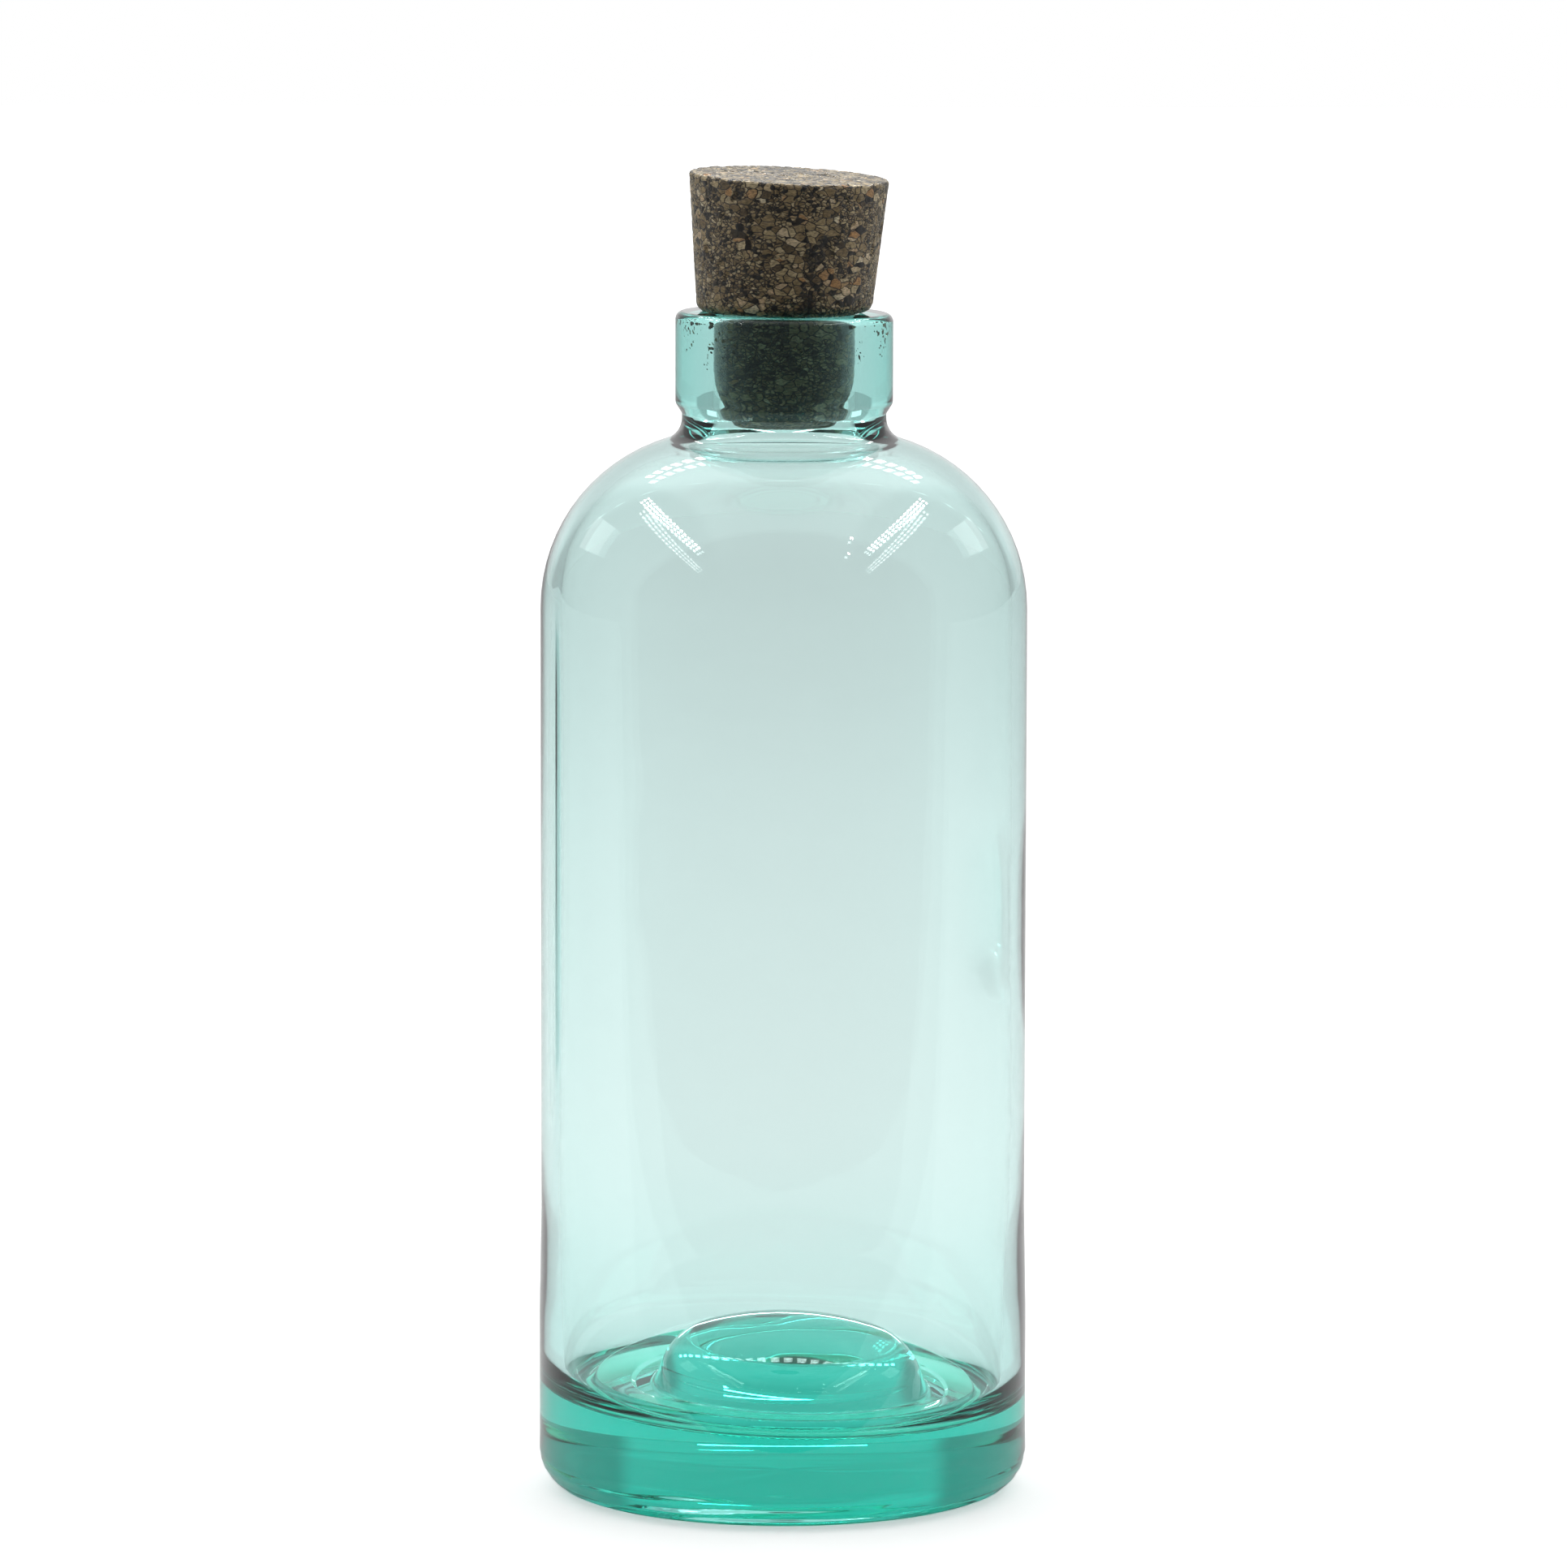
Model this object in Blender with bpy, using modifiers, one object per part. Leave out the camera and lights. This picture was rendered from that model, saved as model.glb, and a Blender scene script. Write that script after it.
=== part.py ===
"""Corked glass bottle: a 500 ml class bottle of thick green-tinted glass and its one-piece agglomerated cork.

Lengths are in metres and +Z is up. The bottle's axis is the Z axis, and its foot stands on z = 0.
An outline is a list of (radius, height) points, which runs up the inside and down the outside of the
glass, and down the side of the cork, so that a turn about the Z axis gives a body facing outwards.
"""

import math

import bpy

MM = 0.001

# Glass, outside
FOOT_RADIUS = 37.5 * MM
FOOT_HEIGHT = 28.0 * MM
BODY_RADIUS = 37.2 * MM
BODY_BOTTOM = 44.0 * MM
HEEL_ROUND = 6.2 * MM
SHOULDER_START = 136.4 * MM
SHOULDER_ROUND = 26.9 * MM
NECK_RADIUS = 15.6 * MM
NECK_BLEND = 3.5 * MM
LIP_RADIUS = 16.6 * MM
LIP_BOTTOM = 166.2 * MM
LIP_TOP = 181.6 * MM
LIP_UNDERSIDE_RISE = 1.6 * MM
LIP_UNDERSIDE_ROUND = 1.5 * MM
LIP_TOP_ROUND = 1.2 * MM
NECK_CORNER_ROUND = 0.6 * MM

# Glass, underside
BEARING_RING_WIDTH = 2.3 * MM
BEARING_RING_ROUND = 0.8 * MM
PUSH_UP_RADIUS = 27.3 * MM
PUSH_UP_EDGE_HEIGHT = 4.0 * MM
PUSH_UP_EDGE_ROUND = 2.0 * MM
PUSH_UP_HEIGHT = 5.0 * MM

# Glass, inside
FOOT_WALL = 3.5 * MM
THIN_WALL = 2.1 * MM
THIN_WALL_HEIGHT = 52.0 * MM
THIN_WALL_ROUND = 600.0 * MM
SHOULDER_WALL = 3.0 * MM
BORE_RADIUS = 10.8 * MM
BORE_BLEND = 2.6 * MM
BORE_MOUTH_ROUND = 0.8 * MM
FILLET_ACROSS = 3.2 * MM
FILLET_UP = 6.0 * MM
GUTTER_RADIUS = 30.2 * MM
GUTTER_HEIGHT = 15.0 * MM
GUTTER_ROUND = 0.3 * MM
RIDGE_RADIUS = 29.3 * MM
RIDGE_HEIGHT = 16.7 * MM
RIDGE_ROUND = 0.3 * MM
STEP_RADIUS = 24.6 * MM
STEP_HEIGHT = 15.8 * MM
STEP_FOOT_RADIUS = 24.0 * MM
STEP_FOOT_HEIGHT = 15.4 * MM
DOME_FOOT_HEIGHT = 15.3 * MM
DOME_FOOT_ROUND = 1.0 * MM
DOME_SIDE_RADIUS = 20.6 * MM
DOME_DRAFT = math.radians(20)
DOME_EDGE_ROUND = 5.2 * MM
DOME_CROWN_ROUND = 52.8 * MM
DOME_TOP = 24.8 * MM

# Cork, with its heights counted from the underside of its head
CORK_SIDE_CLEARANCE = 0.3 * MM
CORK_SEAT_CLEARANCE = 0.3 * MM
HEAD_HEIGHT = 20.5 * MM
HEAD_TOP_RADIUS = 15.2 * MM
HEAD_BOTTOM_RADIUS = 13.3 * MM
HEAD_TOP_ROUND = 0.5 * MM
HEAD_BOTTOM_ROUND = 1.6 * MM
PLUG_LENGTH = 16.4 * MM
PLUG_END_INSET = 4.2 * MM
PLUG_END_HEIGHT = 5.4 * MM

# Fineness of the facets
GLASS_SIDES = 64
CORK_SIDES = 56
SMALL_ARC_STEP = math.radians(30)
HEEL_ARC_STEP = math.radians(15)
LARGE_ARC_STEP = math.radians(9)
DOME_ARC_STEP = math.radians(13)
CORK_ARC_STEP = math.radians(18)
FILLET_ARC_STEP = math.radians(18)
WELD_DISTANCE = 0.00001

# Finishes
GLASS_COLOUR = (0.45, 0.79, 0.68, 1.0)
GLASS_ROUGHNESS = 0.02
GLASS_IOR = 1.52
CORK_COLOUR = (0.30, 0.20, 0.12, 1.0)
CORK_ROUGHNESS = 0.85


def clear_scene():
    """Empty the scene, so that it holds this object alone."""
    for item in list(bpy.data.objects):
        bpy.data.objects.remove(item, do_unlink=True)


def arc(centre, radius, start, end, step):
    """Points on an arc from one angle to another, both ends included."""
    count = max(1, math.ceil(abs(end - start) / step))
    angles = [start + (end - start) * i / count for i in range(count + 1)]
    return [(centre[0] + radius * math.cos(a), centre[1] + radius * math.sin(a)) for a in angles]


def quarter_ellipse(centre, across, up, start, end, step):
    """Points on an ellipse about a centre, from one angle of its circle to another."""
    unit = arc((0.0, 0.0), 1.0, start, end, step)
    return [(centre[0] + across * x, centre[1] + up * y) for x, y in unit]


def rounded(corners, step=SMALL_ARC_STEP):
    """An outline through corners (radius, height, rounding), with an arc in place of each rounded corner."""
    outline = []
    for i, (r, z, rounding) in enumerate(corners):
        if rounding == 0 or i in (0, len(corners) - 1):
            outline.append((r, z))
            continue
        before, after = corners[i - 1], corners[i + 1]
        back = math.atan2(before[1] - z, before[0] - r)
        ahead = math.atan2(after[1] - z, after[0] - r)
        opening = (ahead - back + math.pi) % (2 * math.pi) - math.pi
        middle = back + opening / 2
        to_centre = rounding / math.sin(abs(opening) / 2)
        centre = (r + to_centre * math.cos(middle), z + to_centre * math.sin(middle))
        turn = math.copysign(math.pi - abs(opening), opening)
        start = middle + math.pi + turn / 2
        outline += arc(centre, rounding, start, start - turn, step)
    return outline


def shoulder(radius, line_radius, blend):
    """The shoulder's arc from the body up to a neck or bore, and the blend that ends on that upright line."""
    centre = (BODY_RADIUS - SHOULDER_ROUND, SHOULDER_START)
    blend_across = line_radius + blend - centre[0]
    blend_up = math.sqrt((radius + blend) ** 2 - blend_across ** 2)
    meeting = math.atan2(blend_up, blend_across)
    blend_centre = (line_radius + blend, SHOULDER_START + blend_up)
    return (
        arc(centre, radius, 0.0, meeting, LARGE_ARC_STEP)
        + arc(blend_centre, blend, math.pi + meeting, math.pi, SMALL_ARC_STEP)[1:]
    )


def dome():
    """The flat crown of the dome in the floor and its round edge, down to its steep side."""
    crown_centre = DOME_TOP - DOME_CROWN_ROUND
    edge_radius = DOME_SIDE_RADIUS - DOME_EDGE_ROUND
    edge_distance = DOME_CROWN_ROUND - DOME_EDGE_ROUND
    meeting = math.acos(edge_radius / edge_distance)
    edge_centre = (edge_radius, crown_centre + edge_distance * math.sin(meeting))
    return (
        arc((0.0, crown_centre), DOME_CROWN_ROUND, math.pi / 2, meeting, LARGE_ARC_STEP)
        + arc(edge_centre, DOME_EDGE_ROUND, meeting, DOME_DRAFT, DOME_ARC_STEP)[1:]
    )


def glass_inside():
    """From the dome's top, over the floor's rings and up the wall and the bore to the mouth's rounding."""
    crown = dome()
    side_radius, side_height = crown[-1]
    dome_foot_radius = side_radius + (side_height - DOME_FOOT_HEIGHT) * math.tan(DOME_DRAFT)
    wall_radius = FOOT_RADIUS - FOOT_WALL
    fillet_centre = (wall_radius - FILLET_ACROSS, GUTTER_HEIGHT + FILLET_UP)
    floor = rounded([
        (side_radius, side_height, 0.0),
        (dome_foot_radius, DOME_FOOT_HEIGHT, DOME_FOOT_ROUND),
        (STEP_FOOT_RADIUS, STEP_FOOT_HEIGHT, 0.0),
        (STEP_RADIUS, STEP_HEIGHT, 0.0),
        (RIDGE_RADIUS, RIDGE_HEIGHT, RIDGE_ROUND),
        (GUTTER_RADIUS, GUTTER_HEIGHT, GUTTER_ROUND),
        (fillet_centre[0], GUTTER_HEIGHT, 0.0),
    ])
    fillet = quarter_ellipse(fillet_centre, FILLET_ACROSS, FILLET_UP, -math.pi / 2, 0.0, FILLET_ARC_STEP)
    wall = rounded([
        (wall_radius, fillet_centre[1], 0.0),
        (BODY_RADIUS - THIN_WALL, THIN_WALL_HEIGHT, THIN_WALL_ROUND),
        (BODY_RADIUS - SHOULDER_WALL, SHOULDER_START, 0.0),
    ])
    shoulder_and_bore = shoulder(SHOULDER_ROUND - SHOULDER_WALL, BORE_RADIUS, BORE_BLEND)
    return crown[:-1] + floor + fillet[1:-1] + wall[:-1] + shoulder_and_bore


def glass_lip():
    """From the bore over the lip to the neck under it."""
    return rounded([
        (BORE_RADIUS, LIP_BOTTOM, 0.0),
        (BORE_RADIUS, LIP_TOP, BORE_MOUTH_ROUND),
        (LIP_RADIUS, LIP_TOP, LIP_TOP_ROUND),
        (LIP_RADIUS, LIP_BOTTOM + LIP_UNDERSIDE_RISE, LIP_UNDERSIDE_ROUND),
        (NECK_RADIUS, LIP_BOTTOM, NECK_CORNER_ROUND),
        (NECK_RADIUS, SHOULDER_START, 0.0),
    ])[1:-1]


def glass_outside():
    """From the neck down the shoulder and the body, round the heel and in under the push-up."""
    down_shoulder = shoulder(SHOULDER_ROUND, NECK_RADIUS, NECK_BLEND)[::-1]
    foot = rounded([
        (BODY_RADIUS, SHOULDER_START, 0.0),
        (BODY_RADIUS, BODY_BOTTOM, 0.0),
        (FOOT_RADIUS, FOOT_HEIGHT, 0.0),
        (FOOT_RADIUS, 0.0, HEEL_ROUND),
        (FOOT_RADIUS - HEEL_ROUND - BEARING_RING_WIDTH, 0.0, BEARING_RING_ROUND),
        (PUSH_UP_RADIUS, PUSH_UP_EDGE_HEIGHT, PUSH_UP_EDGE_ROUND),
        (0.0, PUSH_UP_HEIGHT, 0.0),
    ], HEEL_ARC_STEP)
    return down_shoulder + foot[1:]


def cork_outline():
    """From the middle of the cork's top, down its tapered head and its plug, to the middle of its end."""
    plug_radius = BORE_RADIUS - CORK_SIDE_CLEARANCE
    plug_end = quarter_ellipse(
        (plug_radius - PLUG_END_INSET, PLUG_END_HEIGHT - PLUG_LENGTH),
        PLUG_END_INSET,
        PLUG_END_HEIGHT,
        0.0,
        -math.pi / 2,
        CORK_ARC_STEP,
    )
    head = rounded([
        (0.0, HEAD_HEIGHT, 0.0),
        (HEAD_TOP_RADIUS, HEAD_HEIGHT, HEAD_TOP_ROUND),
        (HEAD_BOTTOM_RADIUS, 0.0, HEAD_BOTTOM_ROUND),
        (plug_radius, 0.0, 0.0),
        (plug_radius, -PLUG_LENGTH, 0.0),
    ])[:-1]
    return head + plug_end + [(0.0, -PLUG_LENGTH)]


def finish(name, colour, roughness, transmission=0.0, ior=1.45):
    """A plain material with these looks."""
    material = bpy.data.materials.new(name)
    material.use_nodes = True
    shader = material.node_tree.nodes["Principled BSDF"]
    shader.inputs["Base Color"].default_value = colour
    shader.inputs["Roughness"].default_value = roughness
    shader.inputs["Metallic"].default_value = 0.0
    shader.inputs["IOR"].default_value = ior
    shader.inputs["Transmission Weight"].default_value = transmission
    material.diffuse_color = colour
    return material


def turned(name, outline, sides, material, collection):
    """An object made by turning an outline about the Z axis."""
    mesh = bpy.data.meshes.new(name)
    links = [(i, i + 1) for i in range(len(outline) - 1)]
    mesh.from_pydata([(r, 0.0, z) for r, z in outline], links, [])
    mesh.materials.append(material)
    body = bpy.data.objects.new(name, mesh)
    collection.objects.link(body)
    screw = body.modifiers.new("Turn", "SCREW")
    screw.axis = "Z"
    screw.angle = 2 * math.pi
    screw.steps = sides
    screw.render_steps = sides
    screw.use_merge_vertices = True
    screw.merge_threshold = WELD_DISTANCE
    screw.use_smooth_shade = True
    return body


def build():
    """Model the bottle with its cork seated in the neck."""
    clear_scene()
    collection = bpy.data.collections.new("corked_glass_bottle")
    bpy.context.scene.collection.children.link(collection)

    glass = finish("green_glass", GLASS_COLOUR, GLASS_ROUGHNESS, transmission=1.0, ior=GLASS_IOR)
    outline = glass_inside() + glass_lip() + glass_outside()
    bottle = turned("glass_bottle", outline, GLASS_SIDES, glass, collection)

    cork = finish("agglomerated_cork", CORK_COLOUR, CORK_ROUGHNESS)
    stopper = turned("cork_stopper", cork_outline(), CORK_SIDES, cork, collection)
    stopper.location = (0.0, 0.0, LIP_TOP + CORK_SEAT_CLEARANCE)
    stopper.parent = bottle


build()
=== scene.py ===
"""Looks of the corked glass bottle: a thick-footed green bottle with a pressed cork, in a white photo tent.

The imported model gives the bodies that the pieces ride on. The glass and the cork are each replaced by a
finer piece of the same size, with the unevenness of pressed glass and of cork granules.
Lengths are in metres, +Z is up, and the camera looks along +Y.
"""

import logging
import math
from collections.abc import Callable, Sequence
from dataclasses import dataclass
from enum import Enum
from typing import Union

import bpy
import numpy as np
from mathutils import Matrix, Vector

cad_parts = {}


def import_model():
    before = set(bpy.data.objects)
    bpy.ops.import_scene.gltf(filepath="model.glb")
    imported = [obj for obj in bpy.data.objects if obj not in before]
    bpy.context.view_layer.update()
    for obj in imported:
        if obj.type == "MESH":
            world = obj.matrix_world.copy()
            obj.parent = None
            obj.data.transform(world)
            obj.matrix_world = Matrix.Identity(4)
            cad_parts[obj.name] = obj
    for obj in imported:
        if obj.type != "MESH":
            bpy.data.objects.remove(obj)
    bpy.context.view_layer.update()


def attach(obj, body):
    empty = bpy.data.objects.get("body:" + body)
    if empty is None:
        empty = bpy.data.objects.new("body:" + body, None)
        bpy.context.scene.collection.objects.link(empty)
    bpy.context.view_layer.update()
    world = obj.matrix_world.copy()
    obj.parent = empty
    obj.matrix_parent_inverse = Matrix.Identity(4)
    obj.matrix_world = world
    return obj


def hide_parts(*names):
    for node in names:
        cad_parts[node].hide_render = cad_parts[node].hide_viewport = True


MM = 0.001
LOG = logging.getLogger("corked_bottle")

Colour = tuple[float, float, float, float]
Outline = list[tuple[float, float]]
Points = np.ndarray
Value = Union[bpy.types.NodeSocket, float, Sequence[float]]


class Node(Enum):
    """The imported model's nodes, which are also the names of its bodies."""

    GLASS = "glass_bottle"
    CORK = "cork_stopper"


class Slot(Enum):
    """The record's material slots."""

    GLASS = "green_glass"
    CORK = "agglomerated_cork"


class Side(Enum):
    """The two sides of the tent, by the sign of their X."""

    LEFT = -1
    RIGHT = 1


def grey(level: float) -> Colour:
    """A neutral colour of this linear level."""
    return (level, level, level, 1.0)


@dataclass
class Graph:
    """A node tree with short calls for adding nodes and links.

    Args:
        tree: the node tree that is built.
    """

    tree: bpy.types.NodeTree

    def add(self, kind: str, settings: dict[str, object] | None = None, **sockets: Value) -> bpy.types.Node:
        """Add a node.

        Args:
            kind: Blender's name for the node's type.
            settings: the node's own properties.
            sockets: input names, with underscores for spaces, and each one's value or socket.

        Returns:
            The new node.
        """
        node = self.tree.nodes.new(kind)
        for name, value in (settings or {}).items():
            setattr(node, name, value)
        for name, value in sockets.items():
            self.feed(node.inputs[name.replace("_", " ")], value)
        return node

    def feed(self, socket: bpy.types.NodeSocket, value: Value) -> None:
        """Give an input a value, or link it to the output that is passed."""
        if isinstance(value, bpy.types.NodeSocket):
            self.tree.links.new(value, socket)
        else:
            socket.default_value = value

    def maths(self, operation: str, *values: Value) -> bpy.types.NodeSocket:
        """The result of a maths node on these values or sockets."""
        node = self.tree.nodes.new("ShaderNodeMath")
        node.operation = operation
        for socket, value in zip(node.inputs, values):
            self.feed(socket, value)
        return node.outputs[0]

    def vector(self, operation: str, *values: Value) -> bpy.types.NodeSocket:
        """The result of a vector maths node on these vectors or sockets."""
        node = self.tree.nodes.new("ShaderNodeVectorMath")
        node.operation = operation
        for socket, value in zip(node.inputs, values):
            self.feed(socket, value)
        return node.outputs[0]

    def vector_length(self, vector: Value) -> bpy.types.NodeSocket:
        """The length of a vector."""
        node = self.tree.nodes.new("ShaderNodeVectorMath")
        node.operation = "LENGTH"
        self.feed(node.inputs[0], vector)
        return node.outputs["Value"]

    def span(
        self, value: Value, low: float, high: float, to_low: float, to_high: float
    ) -> bpy.types.NodeSocket:
        """A value mapped smoothly from one range to another, and held at its ends.

        Args:
            value: the value or socket that is mapped.
            low: where its own range begins.
            high: where its own range ends.
            to_low: the result at low and below it.
            to_high: the result at high and above it.

        Returns:
            The socket with the result.
        """
        node = self.add(
            "ShaderNodeMapRange",
            {"interpolation_type": "SMOOTHSTEP"},
            Value=value,
            From_Min=low,
            From_Max=high,
            To_Min=to_low,
            To_Max=to_high,
        )
        return node.outputs["Result"]

    def spread(self, value: Value) -> bpy.types.NodeSocket:
        """A vector or colour with this value in all three of its parts."""
        return self.add("ShaderNodeCombineXYZ", None, X=value, Y=value, Z=value).outputs[0]

    def blend(self, share: Value, first: Value, second: Value) -> bpy.types.NodeSocket:
        """Two values mixed by a share of the second."""
        rest = self.maths("MULTIPLY", first, self.maths("SUBTRACT", 1.0, share))
        return self.maths("ADD", rest, self.maths("MULTIPLY", second, share))

    def mix(self, share: Value, first: Value, second: Value) -> bpy.types.NodeSocket:
        """Two colours mixed by a share of the second."""
        node = self.tree.nodes.new("ShaderNodeMix")
        node.data_type = "RGBA"
        self.feed(node.inputs[0], share)
        self.feed(node.inputs[6], first)
        self.feed(node.inputs[7], second)
        return node.outputs[2]

    def ramp(self, value: Value, stops: Sequence[tuple[float, Colour]]) -> bpy.types.NodeSocket:
        """A colour read off a ramp of (position, colour) stops."""
        node = self.add("ShaderNodeValToRGB", None, Fac=value)
        elements = node.color_ramp.elements
        while len(elements) < len(stops):
            elements.new(1.0)
        for element, (position, colour) in zip(elements, stops):
            element.position = position
            element.color = colour
        return node.outputs["Color"]


def mottle_group() -> bpy.types.NodeTree:
    """The shader group for a value that drifts over a surface, shared by the glass, the cork and the floor.

    Returns:
        A node group with inputs Vector, Scale, Detail, Low and High, and the output Value.
    """
    known = bpy.data.node_groups.get("mottle")
    if known:
        return known
    tree = bpy.data.node_groups.new("mottle", "ShaderNodeTree")
    tree.interface.new_socket("Vector", in_out="INPUT", socket_type="NodeSocketVector")
    for name, value in (("Scale", 10.0), ("Detail", 2.0), ("Low", 0.0), ("High", 1.0)):
        socket = tree.interface.new_socket(name, in_out="INPUT", socket_type="NodeSocketFloat")
        socket.default_value = value
    tree.interface.new_socket("Value", in_out="OUTPUT", socket_type="NodeSocketFloat")
    graph = Graph(tree)
    inside = graph.add("NodeGroupInput").outputs
    noise = graph.add(
        "ShaderNodeTexNoise", None, Vector=inside["Vector"], Scale=inside["Scale"], Detail=inside["Detail"]
    )
    spread = graph.add(
        "ShaderNodeMapRange",
        None,
        Value=noise.outputs[0],
        From_Min=0.3,
        From_Max=0.7,
        To_Min=inside["Low"],
        To_Max=inside["High"],
    )
    graph.add("NodeGroupOutput", None, Value=spread.outputs["Result"])
    return tree


def mottled(
    graph: Graph, vector: Value, scale: float, detail: float, low: float, high: float
) -> bpy.types.NodeSocket:
    """The value of the mottle group in this material.

    Args:
        graph: the material's graph.
        vector: the coordinates that are read.
        scale: how many patches there are to a metre.
        detail: how fine their edges are.
        low: the lowest value.
        high: the highest value.

    Returns:
        The socket with the drifting value.
    """
    settings = {"node_tree": mottle_group()}
    node = graph.add(
        "ShaderNodeGroup", settings, Vector=vector, Scale=scale, Detail=detail, Low=low, High=high
    )
    return node.outputs["Value"]


def new_material(name: str) -> tuple[bpy.types.Material, Graph, bpy.types.Node]:
    """An empty material, its graph and its Principled shader."""
    material = bpy.data.materials.new(name)
    material.use_nodes = True
    return material, Graph(material.node_tree), material.node_tree.nodes["Principled BSDF"]


@dataclass(frozen=True)
class TintedGlass:
    """Clear pressed glass with a green tint that deepens with the length of glass that light crosses.

    Args:
        surface: the colour of the glass where it is thin.
        ior: the index of refraction.
        absorbed: the colour that is left of white light by the thick glass.
        density: the absorption for a metre of glass.
        roughness: the lowest and highest roughness of the drifting surface.
        wave: the height of the slow waves in the surface.
        waves: how many of them there are to a metre.
        patches: how many patches of another roughness there are to a metre.
    """

    surface: Colour = (0.985, 1.0, 0.995, 1.0)
    ior: float = 1.52
    absorbed: Colour = (0.16, 0.88, 0.82, 1.0)
    density: float = 60.0
    roughness: tuple[float, float] = (0.0, 0.015)
    wave: float = 0.03 * MM
    waves: float = 45.0
    patches: float = 60.0

    def material(self) -> bpy.types.Material:
        """Build the glass's material."""
        material, graph, shader = new_material("green_glass_finish")
        where = graph.add("ShaderNodeTexCoord").outputs["Object"]
        waves = graph.add("ShaderNodeTexNoise", None, Vector=where, Scale=self.waves, Detail=1.0)
        bump = graph.add(
            "ShaderNodeBump", None, Strength=1.0, Distance=self.wave, Height=waves.outputs[0]
        )
        rough = mottled(graph, where, self.patches, 2.0, *self.roughness)
        graph.feed(shader.inputs["Roughness"], rough)
        graph.feed(shader.inputs["Normal"], bump.outputs["Normal"])
        shader.inputs["Base Color"].default_value = self.surface
        shader.inputs["IOR"].default_value = self.ior
        shader.inputs["Transmission Weight"].default_value = 1.0
        volume = graph.add("ShaderNodeVolumeAbsorption", None, Color=self.absorbed, Density=self.density)
        graph.feed(graph.tree.nodes["Material Output"].inputs["Volume"], volume.outputs[0])
        return material


@dataclass(frozen=True)
class PressedCork:
    """Agglomerated cork: brown granules of mixed sizes and tones, pressed together with dark gaps between.

    Args:
        granule: the size of a large granule.
        crumb: the size of the small granules between them.
        gap: the width of the dark gap between two granules.
        tones: the ramp of granule colours.
        gap_colour: the colour of the gaps and the pits.
        roughness: the lowest and highest roughness.
        top_roughness: the roughness of its sanded top.
        top_painted_highlight: how much paler the top is painted, a painted highlight for the bright cloth
            that the top reflects at a low angle.
        plug_top: the height of the plug's top, where its painted shade begins.
        plug_shade: how much darker the plug is painted where it sits in the glass neck, as painted shade.
        sheen: how much light the dust on its rims catches.
        sheen_roughness: how widely the dust scatters it.
        sheen_tint: the colour of that light.
        bump_depth: the depth of the gaps as the light sees them.
        bump_strength: how strongly they show on the side and on the sanded top.
    """

    granule: float = 1.6 * MM
    crumb: float = 0.75 * MM
    gap: float = 0.17 * MM
    tones: tuple[tuple[float, Colour], ...] = (
        (0.00, (0.010, 0.009, 0.008, 1.0)),
        (0.10, (0.030, 0.024, 0.016, 1.0)),
        (0.20, (0.200, 0.142, 0.070, 1.0)),
        (0.50, (0.330, 0.245, 0.128, 1.0)),
        (0.68, (0.450, 0.350, 0.195, 1.0)),
        (0.82, (0.540, 0.440, 0.270, 1.0)),
        (0.88, (0.420, 0.225, 0.085, 1.0)),
        (1.00, (0.700, 0.610, 0.420, 1.0)),
    )
    gap_colour: Colour = (0.006, 0.006, 0.006, 1.0)
    roughness: tuple[float, float] = (0.4, 0.6)
    top_roughness: float = 0.16
    top_painted_highlight: float = 1.6
    plug_top: float = 181.8 * MM
    plug_shade: float = 0.75
    sheen: float = 0.4
    sheen_roughness: float = 0.3
    sheen_tint: Colour = (1.0, 0.95, 0.8, 1.0)
    bump_depth: float = 0.08 * MM
    bump_strength: tuple[float, float] = (0.7, 0.15)

    def layer(
        self, graph: Graph, where: Value, size: float
    ) -> tuple[bpy.types.NodeSocket, bpy.types.NodeSocket]:
        """One size of granule.

        Args:
            graph: the material's graph.
            where: the coordinates that are read.
            size: the size of a granule.

        Returns:
            The granule's random value, and how far the point is inside its granule, from 0 to 1.
        """
        cell = graph.add("ShaderNodeTexVoronoi", {"feature": "F1"}, Vector=where, Scale=1.0 / size)
        edge = graph.add(
            "ShaderNodeTexVoronoi", {"feature": "DISTANCE_TO_EDGE"}, Vector=where, Scale=1.0 / size
        )
        tone = graph.add("ShaderNodeSeparateColor", None, Color=cell.outputs["Color"]).outputs["Red"]
        inside = graph.span(edge.outputs["Distance"], 0.0, self.gap / size, 0.0, 1.0)
        return tone, inside

    def material(self) -> bpy.types.Material:
        """Build the cork's material."""
        material, graph, shader = new_material("pressed_cork_finish")
        where = graph.add("ShaderNodeTexCoord").outputs["Object"]
        drift = graph.add("ShaderNodeTexNoise", None, Vector=where, Scale=700.0, Detail=2.0)
        shift = graph.vector("SUBTRACT", drift.outputs["Color"], (0.5, 0.5, 0.5))
        warped = graph.vector("ADD", where, graph.vector("MULTIPLY", shift, (self.granule * 0.5,) * 3))
        flattened = graph.vector("MULTIPLY", warped, (1.0, 1.0, 1.6))

        large_tone, large_inside = self.layer(graph, flattened, self.granule)
        small_tone, small_inside = self.layer(graph, flattened, self.crumb)
        crumbs = graph.span(mottled(graph, where, 260.0, 1.0, 0.0, 1.0), 0.4, 0.5, 0.0, 1.0)
        tone = graph.blend(crumbs, large_tone, graph.maths("MULTIPLY", small_tone, 0.85))
        inside = graph.blend(crumbs, large_inside, small_inside)
        dark = graph.span(mottled(graph, where, 180.0, 2.0, 0.0, 1.0), 0.15, 0.4, 0.25, 1.0)
        streaked = graph.vector("MULTIPLY", warped, (1.0, 1.0, 3.0))
        grain = mottled(graph, streaked, 1900.0, 3.0, 0.45, 1.4)
        shadow = graph.maths("MAXIMUM", dark, graph.maths("SUBTRACT", 1.0, crumbs))
        shade = graph.maths("MULTIPLY", grain, shadow)

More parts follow.
